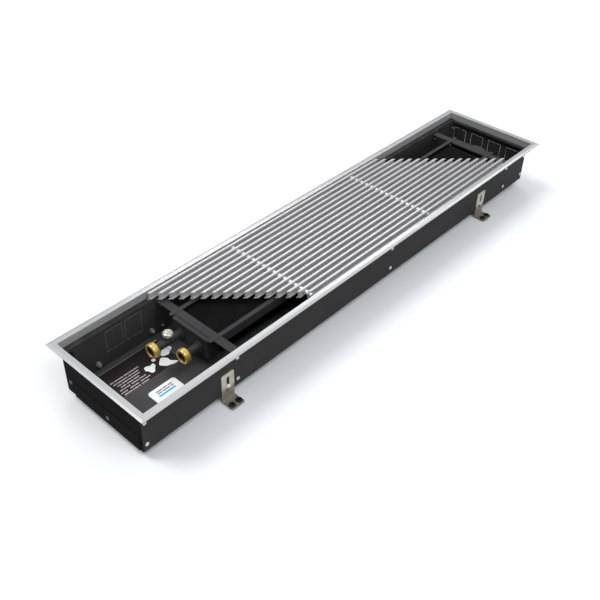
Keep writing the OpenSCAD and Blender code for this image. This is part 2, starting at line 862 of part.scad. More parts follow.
// Two screws in the near end wall, drawn from the mouth side
module end_screw_pair() {
    translate([0, flange_screw_y, z_tray + screw_low]) rotate([0, 0, -90])
        pan_screw(-wall_x - sheet, screw_head_r, screw_head_h, screw_r, screw_len);
    translate([0, end_screw_y, z_tray + end_screw_up]) rotate([0, 0, -90])
        pan_screw(-wall_x, screw_head_r, screw_head_h, screw_r, screw_len);
}

module end_screws() {
    color([0.85, 0.85, 0.83]) {
        end_screw_pair();
        rotate([0, 0, 180]) end_screw_pair();
    }
}

// Earth stud through the back wall, with its washer and nut inside
module earth_stud() {
    len = sheet + washer_t + nut_h + stud_end;
    color([0.72, 0.72, 0.7])
    at_earth() {
        pan_screw(-wall_y, clamp_head_r, clamp_head_h, clamp_r, len);
        nut_set(clamp_r - fit);
    }
}

// Printed film on the floor below the connections
module info_film() {
    color([0.16, 0.12, 0.13])
        translate([film_x0 - half_l, film_y1 - film_w, z_floor])
            cube([film_l, film_w, film_t]);
}

// Blank label with rounded corners on the floor
module write_on_label() {
    r = label_round;
    color([0.95, 0.95, 0.94])
        translate([label_x0 - half_l, label_y1 - label_w, z_floor]) linear_extrude(film_t) {
            translate([r, 0]) square([label_l - 2 * r, label_w]);
            translate([0, r]) square([label_l, label_w - 2 * r]);
            for (x = [r, label_l - r])
                for (y = [r, label_w - r])
                    translate([x, y]) circle(r = r);
        }
}

// Distance of a grille bar from the middle line
function bar_y(i) = grille_shift + (i - (bar_count - 1) / 2) * bar_pitch;

// Section of a bar: top, web and foot
module bar_section() {
    translate([-bar_w / 2, bar_h - bar_flange]) square([bar_w, bar_flange]);
    translate([-bar_web / 2, 0]) square([bar_web, bar_h]);
    translate([-bar_w / 2, 0]) square([bar_w, bar_flange]);
}

// One bar with both ends cut on the slant and a hole for each cross rod
module grille_bar(y) {
    x0 = near_cut - half_l - y;
    x1 = half_l - far_cut - y;
    w = bar_w / 2 + over;
    difference() {
        intersection() {
            translate([x0 - w - over, y, z_grille]) rotate([90, 0, 90])
                linear_extrude(x1 - x0 + 2 * (w + over)) bar_section();
            translate([0, y, z_grille - over]) linear_extrude(bar_h + 2 * over)
                polygon([[x0 + w, -w], [x1 + w, -w], [x1 - w, w], [x0 - w, w]]);
        }
        for (x = [near_rod_x, far_rod_x])
            translate([x, y, rod_z]) rod_y(-bar_w, 2 * bar_w, rod_r + fit);
    }
}

module grille_bars() {
    color([0.78, 0.78, 0.78])
    for (i = [0 : bar_count - 1])
        grille_bar(bar_y(i));
}

module grille_rods() {
    y0 = bar_y(0) - bar_web / 2 - end_room;
    y1 = bar_y(bar_count - 1) + bar_web / 2 + end_room;
    color([0.75, 0.75, 0.75])
    for (x = [near_rod_x, far_rod_x])
        translate([x, 0, rod_z]) rod_y(y0, y1 - y0, rod_r);
}

module grille_spacers() {
    gap = bar_pitch - bar_web;
    color([0.8, 0.8, 0.8])
    for (x = [near_rod_x, far_rod_x])
        translate([x, 0, rod_z]) {
            for (i = [0 : bar_count - 2])
                difference() {
                    rod_y(bar_y(i) + bar_web / 2, gap, spacer_r);
                    rod_y(bar_y(i), bar_pitch, rod_r + fit);
                }
            for (y = [bar_y(0) - bar_web / 2 - end_room, bar_y(bar_count - 1) + bar_web / 2])
                difference() {
                    rod_y(y, end_room, spacer_r);
                    rod_y(y - over, end_room + 2 * over, rod_r + fit);
                }
        }
}

tray();
near_end_wall();
far_end_wall();
frame_front();
frame_back();
frame_near();
frame_far();
corner_keys();
seat_strips();
near_crossbar();
middle_crossbar();
far_crossbar();
front_shaft_plate();
back_shaft_plate();
near_end_cover();
far_end_cover();
fin_pack();
flow_tube();
return_tube();
return_bend();
flow_socket();
return_socket();
vent_boss();
vent_body();
vent_screw();
bracket_front_near();
bracket_front_far();
bracket_back_near();
bracket_back_far();
dampers_front_near();
dampers_front_far();
dampers_back_near();
dampers_back_far();
clamp_screws();
clamp_nuts();
wall_screws();
end_screws();
earth_stud();
info_film();
write_on_label();
grille_bars();
grille_rods();
grille_spacers();
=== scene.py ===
# %% [markdown]
# A trench convector heater lies in the floor: a long folded sheet tray with a finned water
# convector in it, an edge frame around it and a linear grille on top. The solids come from the
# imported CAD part, and this script dresses them. Loading the part first gives every later cell the
# real places and sizes, in metres, with the length along X and the camera's side at minus Y.

import math

import bmesh
import bpy
from mathutils import Matrix, Vector


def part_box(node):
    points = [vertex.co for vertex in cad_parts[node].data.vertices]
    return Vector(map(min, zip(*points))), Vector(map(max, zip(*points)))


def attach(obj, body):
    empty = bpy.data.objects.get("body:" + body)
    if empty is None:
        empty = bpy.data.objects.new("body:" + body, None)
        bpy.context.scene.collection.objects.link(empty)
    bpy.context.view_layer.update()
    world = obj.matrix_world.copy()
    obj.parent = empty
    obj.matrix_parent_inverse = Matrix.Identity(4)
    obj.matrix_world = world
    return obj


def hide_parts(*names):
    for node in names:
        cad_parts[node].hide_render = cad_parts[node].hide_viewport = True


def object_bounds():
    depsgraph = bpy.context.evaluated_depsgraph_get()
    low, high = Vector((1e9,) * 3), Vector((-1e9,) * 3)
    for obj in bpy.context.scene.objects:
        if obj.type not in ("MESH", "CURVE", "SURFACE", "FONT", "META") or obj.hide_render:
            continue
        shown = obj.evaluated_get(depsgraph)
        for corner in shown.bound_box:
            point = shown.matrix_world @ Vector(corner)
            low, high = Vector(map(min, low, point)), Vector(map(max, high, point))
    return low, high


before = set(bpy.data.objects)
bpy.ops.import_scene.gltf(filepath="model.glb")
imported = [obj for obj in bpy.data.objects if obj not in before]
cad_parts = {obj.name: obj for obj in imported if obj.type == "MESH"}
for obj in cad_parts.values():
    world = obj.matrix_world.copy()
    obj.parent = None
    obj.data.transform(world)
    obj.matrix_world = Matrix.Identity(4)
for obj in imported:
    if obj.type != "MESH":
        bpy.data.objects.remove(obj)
cad_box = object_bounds()
MM = 0.001
size = [round(c / MM) for c in cad_box[1] - cad_box[0]]
print("nodes:", len(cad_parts), "size in mm:", size)

# %% [markdown]
# Later cells need a few heights of the part. They are read from the boxes of its nodes, in
# millimetres, so that the dressing follows the part if its feet or its tray change.

# %% Heights and places of the part
def low(node):
    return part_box(node)[0] / MM


def high(node):
    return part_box(node)[1] / MM


TRAY_UNDER = low("tray").z
WALL_TOP = high("tray").z
FRAME_TOP = high("frame_front").z
BRIDGE_TOP = high("near_crossbar").z
BOX_TOP = high("near_end_cover").z
BOX_FACE = low("near_end_cover").x
TUBE_Z = (low("flow_socket").z + high("flow_socket").z) / 2
TUBE_Y = (low("flow_socket").y + high("flow_socket").y) / 2
SHEET = 1.5
print("tray above the floor:", round(TRAY_UNDER, 1), "frame top:", round(FRAME_TOP, 1))
print("tube axis above the floor:", round(TUBE_Z, 1), "beside the middle:", round(TUBE_Y, 1))

# %% [markdown]
# The camera stands high above the connection end and looks along the trench. Its place was solved
# from the outline of the frame in the photograph, so it is written as plain numbers above the
# underside of the tray. A small shift keeps the picture framed as the photograph is.

# %% Camera
scene = bpy.context.scene
camera = bpy.data.objects.new("Camera", bpy.data.cameras.new("Camera"))
scene.collection.objects.link(camera)
camera.location = (-0.98908, -0.78409, 0.96945 + TRAY_UNDER * MM)
camera.rotation_euler = [math.radians(turn) for turn in (52.0757, -0.996, -47.3199)]
camera.data.lens = 49.635
camera.data.sensor_width = 36
camera.data.shift_x = 0.01333
camera.data.shift_y = -0.05
scene.camera = camera
scene.view_settings.view_transform = "Standard"
print("camera distance in m:", round(camera.location.length, 3))

# %% [markdown]
# Every finish below varies over its surface, and that takes arithmetic on shader sockets. A small
# class wraps a socket and turns Python's operators into Math nodes, so a formula reads as one.

# %% Sockets as numbers
class Wire:
    """An output socket that can be used in a formula."""

    def __init__(self, nodes, socket):
        self.nodes = nodes
        self.socket = socket

    def math(self, operation, first, second):
        return self.nodes.node("ShaderNodeMath", {"operation": operation}, {0: first, 1: second})

    def __add__(self, other):
        return self.math("ADD", self, other)

    def __radd__(self, other):
        return self.math("ADD", other, self)

    def __sub__(self, other):
        return self.math("SUBTRACT", self, other)

    def __mul__(self, other):
        return self.math("MULTIPLY", self, other)


print("formulas ready")

# %% [markdown]
# One method adds any node: its type, its settings, and then the values or links of its sockets.
# Three shorthands serve every finish: a noise, a colour mix and a soft step. The noise reads
# Object coordinates, which are metres here, so a scale of 1000 has grains of about a millimetre.

# %% Nodes of a tree
class Nodes:
    """The nodes of a material or of the world."""

    def __init__(self, tree):
        self.tree = tree

    def node(self, kind, settings=None, inputs=None, output=0):
        made = self.tree.nodes.new(kind)
        for name, value in (settings or {}).items():
            setattr(made, name, value)
        for name, value in (inputs or {}).items():
            if isinstance(value, Wire):
                self.tree.links.new(value.socket, made.inputs[name])
            else:
                made.inputs[name].default_value = value
        return Wire(self, made.outputs[output])

    def noise(self, scale, detail=2, stretch=(1, 1, 1), roughness=0.5):
        at = self.node("ShaderNodeTexCoord", output="Object")
        at = self.node("ShaderNodeMapping", None, {"Vector": at, "Scale": stretch})
        values = {"Vector": at, "Scale": scale, "Detail": detail, "Roughness": roughness}
        return self.node("ShaderNodeTexNoise", None, values, "Fac")

    def mix(self, share, first, second):
        values = {0: share, 6: first, 7: second}
        return self.node("ShaderNodeMix", {"data_type": "RGBA"}, values, 2)

    def step(self, wire, start, end):
        values = {"Value": wire, "From Min": start, "From Max": end}
        return self.node("ShaderNodeMapRange", {"clamp": True}, values, "Result")


print("nodes ready")

# %% [markdown]
# A finish starts from the Principled shader. Constant values go on the shader's own sockets, and
# only what changes over the surface is linked. The edge mask is an attribute of the mesh, which
# the rounded edges carry.

# %% The finish class
class Finish(Nodes):
    """A procedural material."""

    def __init__(self, name, **constants):
        self.material = bpy.data.materials.new(name)
        self.material.use_nodes = True
        super().__init__(self.material.node_tree)
        self.shader = self.tree.nodes["Principled BSDF"]
        for socket, value in constants.items():
            self.shader.inputs[socket.replace("_", " ")].default_value = value

    def feed(self, **links):
        for socket, wire in links.items():
            self.tree.links.new(wire.socket, self.shader.inputs[socket.replace("_", " ")])

    def read(self, attribute):
        return self.node("ShaderNodeAttribute", {"attribute_name": attribute}, None, "Fac")

    def bump(self, height, strength, distance):
        values = {"Height": height, "Strength": strength, "Distance": distance}
        self.feed(Normal=self.node("ShaderNodeBump", None, values, "Normal"))


def tone(colour, factor):
    return tuple(min(1, part * factor) for part in colour[:3]) + (1,)


print("finishes ready")

# %% [markdown]
# The tray, its ends and the bridges are powder coated in a matt anthracite. A real coat has an
# orange peel of less than a millimetre, clouds of slightly different tone, a little dust, and the
# metal shimmers through where an edge has been rubbed. The slots of the knock-out panels are cut
# after coating, so their rims are bare. A mask named cut marks these, and bare says how bright
# they are. The tones are set against the photograph, and the one coat comes in lit and shaded
# copies: the inner floor of the tray gets a lighter copy as painted light, and the end walls get
# darker copies as painted shade, the near one nearly black because it is turned away from the
# light.

# %% Powder coat
def powder_coat(name, colour, roughness, gloss, bare=0.4):
    coat = Finish(name, IOR=1.5, Specular_IOR_Level=gloss)
    peel = coat.noise(900, 2)
    cloud = coat.noise(11, 4)
    dust = coat.step(coat.noise(260, 5, roughness=0.7), 0.62, 0.8)
    rubbed = coat.read("edge") * coat.step(coat.noise(70, 4), 0.45, 0.72)
    paint = coat.mix(coat.step(cloud, 0.3, 0.7), tone(colour, 0.88), tone(colour, 1.12))
    paint = coat.mix(dust * 0.2, paint, tone(colour, 2))
    paint = coat.mix(rubbed * 0.3, paint, tone(colour, 4))
    paint = coat.mix(coat.read("cut"), paint, (bare, bare, bare, 1))
    coat.feed(Base_Color=paint, Roughness=roughness + (cloud - 0.5) * 0.18 + (peel - 0.5) * 0.1)
    coat.bump(peel, 0.16, 0.0003)
    return coat.material


tray_coat = powder_coat("TrayCoat", (0.0465, 0.0455, 0.0455), 0.6, 0.08, 0.25)
# Painted light: the inner floor gets a lighter copy of the tray coat.
floor_lit_coat = powder_coat("TrayFloorPaintedLight", (0.07, 0.069, 0.069), 0.6, 0.1)
# Painted shade: the two end walls get darker copies of the tray coat.
end_wall_shaded_coat = powder_coat("EndWallPaintedShade", (0.017, 0.017, 0.0172), 0.7, 0.02, 0.7)
far_wall_shaded_coat = powder_coat("FarWallPaintedShade", (0.04, 0.04, 0.04), 0.7, 0.03, 1)
bridge_coat = powder_coat("BridgeCoat", (0.044, 0.0435, 0.044), 0.6, 0.15)
# Painted shade: a darker copy of the bridge coat for the sides of the boxes.
box_side_shaded_coat = powder_coat("BoxSidePaintedShade", (0.034, 0.0335, 0.034), 0.6, 0.1)
print("powder coats: 6")

# %% [markdown]
# The frame and the grille are extruded aluminium with a natural anodised skin. The skin scatters
# most of the light and mirrors the rest, so it is only partly metallic. Extrusion leaves very fine
# lines along the length, so the noise is drawn out along one axis: 40 lines across for each one
# along. They steer the roughness and a very shallow bump.

# %% Anodised aluminium
LINES = 2600


def anodised(name, colour, along, roughness):
    skin = Finish(name, Metallic=0.3)
    stretch = tuple(1 / 40 if axis == along else 1 for axis in "XYZ")
    draw = skin.noise(LINES, 3, stretch)
    broad = skin.noise(LINES / 9, 2, stretch)
    cloud = skin.noise(14, 3)
    metal = skin.mix(skin.step(cloud, 0.3, 0.7), tone(colour, 0.96), tone(colour, 1.03))
    metal = skin.mix(skin.step(broad, 0.35, 0.65) * 0.3, metal, tone(colour, 0.88))
    metal = skin.mix(skin.read("edge") * 0.5, metal, tone(colour, 1.12))
    grey = (draw - 0.5) * 0.12 + (cloud - 0.5) * 0.08 + roughness
    skin.feed(Base_Color=metal, Roughness=grey)
    skin.bump(draw, 0.1, 0.0001)
    return skin.material


frame_skin = anodised("FrameAnodised", (0.535, 0.535, 0.53), "X", 0.23)
frame_end_skin = anodised("FrameEndAnodised", (0.515, 0.515, 0.51), "Y", 0.23)
grille_skin = anodised("GrilleAnodised", (0.53, 0.53, 0.527), "X", 0.26)
# Painted light: a lighter copy of the grille skin for the sides of the bars.
grille_side_lit_skin = anodised("GrilleSidePaintedLight", (0.64, 0.635, 0.63), "X", 0.3)
spacer_skin = anodised("SpacerAluminium", (0.72, 0.72, 0.72), "Y", 0.3)
print("anodised skins: 5")

# %% [markdown]
# The brackets have a dull, warm zinc coat with blotches, and are painted darker and browner toward
# the foot as painted shade. The screws of the long walls have a bright coat, the nuts inside a
# greyer one, and the screws of the end walls a darker copy of the zinc, nearly the tone of the
# wall, as painted shade. Here too a part of the surface is scattering, because a zinc coat is never
# a mirror.

# %% Plated steel
FOOT_SHADE_TOP, FOOT_SHADE_FULL = 32 * MM, 23 * MM


def plated(name, colour, stain, roughness, grain, metallic, foot_shade=0):
    coat = Finish(name, Metallic=metallic)
    blotch = coat.noise(grain, 5, roughness=0.65)
    fine = coat.noise(1600, 2, (1, 1, 0.12))
    metal = coat.mix(coat.step(blotch, 0.35, 0.7), tone(colour, 1), tone(stain, 1))
    if foot_shade:
        at = coat.node("ShaderNodeTexCoord", output="Object")
        height = coat.node("ShaderNodeSeparateXYZ", None, {"Vector": at}, "Z")
        uneven = height + (blotch - 0.5) * 0.01
        # Painted shade: darker and browner toward the foot, below a given height.
        metal = coat.mix(coat.step(uneven, FOOT_SHADE_TOP, FOOT_SHADE_FULL) * foot_shade, metal, tone(stain, 0.4))
    metal = coat.mix(coat.read("edge") * 0.5, metal, tone(colour, 1.25))
    coat.feed(Base_Color=metal, Roughness=roughness + (blotch - 0.5) * 0.3 + (fine - 0.5) * 0.12)
    coat.bump(fine, 0.08, 0.0002)
    return coat.material


# The last number sets how strongly the painted shade darkens the foot.
bracket_zinc = plated("BracketZinc", (0.75, 0.73, 0.64), (0.56, 0.5, 0.38), 0.42, 55, 0.3, 0.85)
screw_zinc = plated("ScrewZinc", (0.84, 0.84, 0.82), (0.7, 0.7, 0.69), 0.28, 160, 0.6)
# Painted shade: a dark copy of the zinc for the screws of the end walls.
end_screw_shaded_zinc = plated("EndScrewPaintedShade", (0.18, 0.18, 0.18), (0.12, 0.12, 0.12), 0.4, 160, 0.4)
nut_zinc = plated("NutZinc", (0.42, 0.42, 0.42), (0.25, 0.25, 0.25), 0.35, 160, 0.5)
key_zinc = plated("KeyZinc", (0.6, 0.6, 0.6), (0.48, 0.48, 0.47), 0.45, 80, 0.8)
print("plated steels: 5")

# %% [markdown]
# Turned brass and nickel show fine rings around their axis and a smudge here and there. The noise
# of the rings changes fast along the axis and slowly across it. A mask marks the bore of a socket,
# which is painted dark brown, nearly black, as painted shade.

# %% Turned brass and nickel
RINGS_ON_X = (1, 0.06, 0.06)
RINGS_ON_Z = (0.2, 0.2, 1)


def turned_metal(name, colour, shade, roughness, ring, marks):
    metal = Finish(name, Metallic=0.55)
    rings = metal.noise(2400, 2, ring)
    smudge = metal.noise(marks, 4)
    tint = metal.mix(metal.step(smudge, 0.35, 0.7), tone(colour, 1), tone(shade, 1))
    tint = metal.mix(metal.read("edge") * 0.4, tint, tone(colour, 1.2))
    # Painted shade: the masked bore is mixed nearly to black.
    tint = metal.mix(metal.read("bore_shade") * 0.92, tint, tone(shade, 0.08))
    metal.feed(Base_Color=tint, Roughness=roughness + (smudge - 0.5) * 0.2 + (rings - 0.5) * 0.08)
    metal.bump(rings, 0.1, 0.0001)
    return metal.material


brass = turned_metal("TurnedBrass", (0.8, 0.57, 0.16), (0.66, 0.44, 0.1), 0.28, RINGS_ON_X, 90)
nickel = turned_metal("SatinNickel", (0.66, 0.64, 0.57), (0.3, 0.27, 0.2), 0.26, RINGS_ON_Z, 210)
print("turned metals: 2")

# %% [markdown]
# The water tubes and the fins are coated matt black so that they can't be seen through the
# grille. Fins keep a faint shimmer where the coat is thin on their cut edges.

# %% Matt black coats
def matt_coat(name, colour, roughness, speck, gloss):
    coat = Finish(name, IOR=1.45, Specular_IOR_Level=gloss)
    cloud = coat.noise(35, 4)
    grain = coat.noise(700, 3)
    specks = coat.step(coat.noise(420, 4, roughness=0.7), 0.56, 0.75)
    skin = coat.mix(coat.step(cloud, 0.3, 0.7), tone(colour, 0.8), tone(colour, 1.25))
    skin = coat.mix(specks * speck, skin, tone(colour, 3))
    coat.feed(Base_Color=skin, Roughness=roughness + (grain - 0.5) * 0.2)
    coat.bump(grain, 0.2, 0.0003)
    return coat.material


tube_coat = matt_coat("TubeCoat", (0.03, 0.03, 0.03), 0.45, 0.1, 0.35)
# Painted light: the bend gets a lighter, glossier copy of the tube coat.
bend_lit_coat = matt_coat("BendPaintedLight", (0.036, 0.036, 0.036), 0.42, 0.1, 0.4)
fin_coat = matt_coat("FinCoat", (0.011, 0.011, 0.0115), 0.75, 0.3, 0.05)
print("matt coats: 3")

# %% [markdown]
# The dampers of the feet and the strips under the grille are rubber: dark and dull, full of fine
# pores, and grey in places with the bloom that rubber sweats out as it ages.

# %% Rubber
def rubber(name, colour, roughness, pores, gloss):
    soft = Finish(name, IOR=1.5, Specular_IOR_Level=gloss)
    pore = soft.noise(pores, 3)
    bloom = soft.noise(60, 4)
    skin = soft.mix(soft.step(bloom, 0.4, 0.75), tone(colour, 0.85), tone(colour, 1.6))
    soft.feed(Base_Color=skin, Roughness=roughness + (pore - 0.5) * 0.25)
    soft.bump(pore, 0.35, 0.0003)
    return soft.material


damper_rubber = rubber("DamperRubber", (0.024, 0.023, 0.021), 0.65, 1200, 0.2)
strip_rubber = rubber("SoftStrip", (0.034, 0.034, 0.034), 0.75, 2200, 0.15)
print("rubbers: 2")

# %% [markdown]
# Two stuck-on films lie on the floor of the tray: a dark printed one and a small white label.
# Both are thin and a little glossy, with a faint ripple from being pressed on by hand. The inks
# are the same kind of surface in other tones.

# %% Films and inks
def pressed_film(name, colour, roughness, ripple, gloss):
    film = Finish(name, IOR=1.45, Specular_IOR_Level=gloss)
    wave = film.noise(24, 2)
    fine = film.noise(900, 2)
    tint = film.mix(film.step(wave, 0.3, 0.7), tone(colour, 0.94), tone(colour, 1.05))
    film.feed(Base_Color=tint, Roughness=roughness + (fine - 0.5) * 0.14 + (wave - 0.5) * 0.12)
    film.bump(wave * 0.9 + fine * 0.1, ripple, 0.002)
    return film.material


dark_film = pressed_film("DarkFilm", (0.024, 0.018, 0.019), 0.5, 0.1, 0.25)
white_film = pressed_film("WhiteFilm", (0.985, 0.985, 0.985), 0.4, 0.06, 0.5)
white_ink = pressed_film("WhiteInk", (0.985, 0.985, 0.985), 0.45, 0.05, 0.5)
faint_ink = pressed_film("FaintInk", (0.52, 0.46, 0.465), 0.5, 0.05, 0.3)
border_ink = pressed_film("BorderInk", (0.22, 0.21, 0.21), 0.5, 0.05, 0.2)
dark_ink = pressed_film("DarkInk", (0.13, 0.15, 0.18), 0.5, 0.05, 0.3)
cyan_ink = pressed_film("CyanInk", (0.03, 0.5, 0.8), 0.45, 0.05, 0.3)
print("films and inks: 7")

# %% [markdown]
# A CAD solid comes as loose triangles with knife-sharp edges, and no real edge is that sharp. So
# a piece starts as a copy of the CAD mesh: its doubles are merged, flat areas are joined into one
# face each, and then the edges are bevelled. Named passes give the folds of a sheet a larger
# radius than its cut edges. Faces of the bevels are marked in a face-corner attribute, which is
# the mask that the finishes use for rubbed edges.

# %% Round the edges of a CAD solid
ONE_POINT = 1e-6
FLAT = math.radians(0.5)


def joined_copy(node):
    shape = bmesh.new()
    shape.from_mesh(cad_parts[node].data)
    bmesh.ops.remove_doubles(shape, verts=shape.verts, dist=ONE_POINT)
    bmesh.ops.dissolve_limit(shape, angle_limit=FLAT, verts=shape.verts, edges=shape.edges)
    return shape


def near(value, target, by=0.06):
    return abs(value - target) < by


def sharp_edges(shape, test, angle):
    found = []
    for edge in shape.edges:
        if len(edge.link_faces) == 2 and edge.calc_face_angle() > math.radians(angle):
            middle = (edge.verts[0].co + edge.verts[1].co) / 2 / MM
            along = (edge.verts[1].co - edge.verts[0].co).normalized()
            if test is None or test(middle, along):
                found.append(edge)
    return found


def bevel_pass(shape, width, segments, test=None, angle=35, mark="edge"):
    mask = shape.loops.layers.float.get(mark) or shape.loops.layers.float.new(mark)
    picked = sharp_edges(shape, test, angle)
    done = bmesh.ops.bevel(
        shape,
        geom=picked,
        offset=width * MM,
        offset_type="OFFSET",
        affect="EDGES",
        segments=segments,
        profile=0.5,
        material=-1,
        clamp_overlap=True,
    )
    for face in done["faces"]:
        for corner in face.loops:
            corner[mask] = 1.0
    return len(picked)


print("bevels ready")

# %% [markdown]
# Every piece ends in the same way. Faces and edges without any size are dissolved, because a bevel
# can leave some. Weighted normals keep its flat faces flat beside the rounded edges.

# %% Put a finished mesh in the scene
NO_SIZE = 1e-7
SHARP = math.radians(35)


def finished(name, shape, finish, body, nodes=()):
    mesh = bpy.data.meshes.new(name)
    bmesh.ops.dissolve_degenerate(shape, dist=NO_SIZE, edges=shape.edges)
    shape.to_mesh(mesh)
    shape.free()
    mesh.materials.append(finish)
    mesh.shade_smooth()
    mesh.set_sharp_from_angle(angle=SHARP)
    piece = bpy.data.objects.new(name, mesh)
    scene.collection.objects.link(piece)
    even = piece.modifiers.new("EvenNormals", "WEIGHTED_NORMAL")
    even.keep_sharp = True
    even.weight = 80
    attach(piece, body)
    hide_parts(*nodes)
    return piece


def rounded(node, finish, passes=(), edge=0.3, body="trench"):
    shape = joined_copy(node)
    for one in passes:
        bevel_pass(shape, *one)
    count = bevel_pass(shape, edge, 1) if edge else 0
    piece = finished(node + "_dressed", shape, finish, body, [node])
    print(node, "rounded edges:", count, "faces:", len(piece.data.polygons))
    return piece


print("pieces ready")

# %% [markdown]
# One solid can show more than one finish, such as the dark strip finish painted on the seat of the
# frame as painted shade. The faces that pass a test, which is given the middle of each face, get
# another finish.

# %% Give some faces of a piece another finish
def refinish(piece, finish, test):
    piece.data.materials.append(finish)
    count = 0
    for face in piece.data.polygons:
        if test(face.center / MM):
            face.material_index = len(piece.data.materials) - 1
            count += 1
    print(piece.name, "faces in", finish.name + ":", count)


print("second finishes ready")

# %% [markdown]
# The tray is one sheet: the floor, the two long walls and their flanges are folded, so these long
# folds get a radius of about the sheet's thickness. The rest of its edges are laser cuts. The
# slots of the knock-out panels get a rounded rim of their own, marked as bare metal. Panels are
# only in the back wall near the connections and in the far end wall. The tray's end flanges get
# the darker end wall copy of the coat as painted shade, and its inner floor a lighter copy as
# painted light.

# %% Tray and end walls
WALL_Y = 94.2
WALL_X = 538.3
SLOTS_LOW = TRAY_UNDER + 27.9
SLOTS_HIGH = WALL_TOP - 4.9
SIDE_SLOTS = (-459, -385)
END_SLOTS = 90


def long_fold(middle, along):
    height = near(middle.z, TRAY_UNDER) or near(middle.z, WALL_TOP - SHEET)
    return abs(along.x) > 0.99 and near(abs(middle.y), WALL_Y) and height


def short_fold(middle, along):
    return abs(along.y) > 0.99 and near(abs(middle.x), WALL_X, 0.1) and middle.z > WALL_TOP - 0.5


def slot_rim(middle, along):
    tall = SLOTS_LOW < middle.z < SLOTS_HIGH
    side_wall = middle.y > WALL_Y - 2 and SIDE_SLOTS[0] < middle.x < SIDE_SLOTS[1]
    end_wall = middle.x > WALL_X - 2 and abs(middle.y) < END_SLOTS
    return tall and (side_wall or end_wall)


CUT = (0.35, 3, slot_rim, 35, "cut")
tray = rounded("tray", tray_coat, [(1.4, 3, long_fold), CUT], 0.25)
# Painted shade: the end flanges of the tray get the darker copy of the coat.
refinish(tray, end_wall_shaded_coat, lambda at: abs(at.x) > WALL_X - 0.1)
# Painted light: the inner floor of the tray gets the lighter copy of the coat.
refinish(tray, floor_lit_coat, lambda at: near(at.z, TRAY_UNDER + SHEET) and abs(at.y) < WALL_Y - 2)
# Painted shade: both end walls get darker copies of the coat.
for node, coat in (("near_end_wall", end_wall_shaded_coat), ("far_end_wall", far_wall_shaded_coat)):
    rounded(node, coat, [(1.2, 3, short_fold), CUT], 0.25)

# %% [markdown]
# Bridges, shaft plates and the boxes over the convector ends are folded from the same sheet. The
# boxes look softer, because their top edges are drawn, not folded. Their tops get the coat of the
# bridges, and their sides, which stand in the dark of the trench, a darker copy of it as painted
# shade.

# %% Bridges, plates and boxes
def bridge_fold(middle, along):
    at_side = near(abs(middle.y), WALL_Y - SHEET) and middle.z > BRIDGE_TOP - 0.5
    return abs(along.x) > 0.99 and at_side


def box_fold(middle, along):
    return abs(along.z) < 0.1 and near(middle.z, BOX_TOP)


for node in ("near_crossbar", "middle_crossbar", "far_crossbar"):
    rounded(node, bridge_coat, [(1.2, 3, bridge_fold)], 0.25)
for node in ("front_shaft_plate", "back_shaft_plate"):
    rounded(node, bridge_coat, (), 0.2)
for node in ("near_end_cover", "far_end_cover"):
    # Painted shade: the boxes get the darker copy of the coat, their tops the bridge coat.
    cover = rounded(node, box_side_shaded_coat, [(1.1, 3, box_fold)], 0)
    refinish(cover, bridge_coat, lambda at: near(at.z, BOX_TOP))

# %% [markdown]
# The four lengths of the frame meet in mitres at the corners. Each length keeps its own rounded
# ends, so the joint shows as a hairline groove, as on the real frame. Its outer edge slopes down
# a little, and the two corners of the slope are drawn round and catch the light. The seat of the
# frame is given the dark finish of the strip that the grille rests on, as painted shade.

# %% Frame, seat strips and corner keys
OUTER_Y = -low("frame_front").y
OUTER_X = high("frame_front").x
SLOPE = 4.4
SEAT_TOP = low("seat_strips").z + 0.1
RIM_Y = high("seat_strips").y
RIM_X = high("seat_strips").x
SKINS = {"front": frame_skin, "back": frame_skin, "near": frame_end_skin, "far": frame_end_skin}


def slope_edge(middle, along):
    side = abs(along.x) > 0.9 and abs(middle.y) > OUTER_Y - SLOPE - 0.1
    end = abs(along.y) > 0.9 and abs(middle.x) > OUTER_X - SLOPE - 0.1
    return middle.z > FRAME_TOP - 1.3 and (side or end)


def on_seat(at):
    return at.z < SEAT_TOP and abs(at.y) < RIM_Y and abs(at.x) < RIM_X


for place, skin in SKINS.items():
    piece = rounded("frame_" + place, skin, [(0.5, 3, slope_edge, 8)], 0.2)
    # Painted shade: the seat faces of the frame get the dark strip finish.
    refinish(piece, strip_rubber, on_seat)
rounded("seat_strips", strip_rubber, (), 0.4)
rounded("corner_keys", key_zinc, (), 0.3)

# %% [markdown]
# The grille is a set of I-shaped bars threaded on two cross rods, with a short tube between each
# pair. Its ends are cut on the slant here, which shows the convector below. The top edges of a bar
# are drawn rounder than the rest of it, because feet walk over them. The sides of the bars, which
# show in the gaps, get a lighter and duller copy of the skin than the brushed tops, as painted
# light.

# %% Grille
BRUSHED = FRAME_TOP - 0.4


def top_edge(middle, along):
    return abs(along.x) > 0.99 and near(middle.z, FRAME_TOP)


bars = rounded("grille_bars", grille_skin, [(0.9, 3, top_edge)], 0.25, "grille")
# Painted light: the sides of the bars get the lighter copy of the skin.
refinish(bars, grille_side_lit_skin, lambda at: at.z < BRUSHED)
rounded("grille_spacers", spacer_skin, (), 0.35, "grille")
rounded("grille_rods", spacer_skin, (), 0.4, "grille")

# %% [markdown]
# The real fins are thin pleated plates pressed on the tubes. The CAD part has flat ones, so each
# fin is made again: a grid stands across the convector, every second column of its points is
# pushed forward to make the pleats, and a Solidify modifier gives it its thickness. The first fin
# is copied along the convector at the CAD pitch.

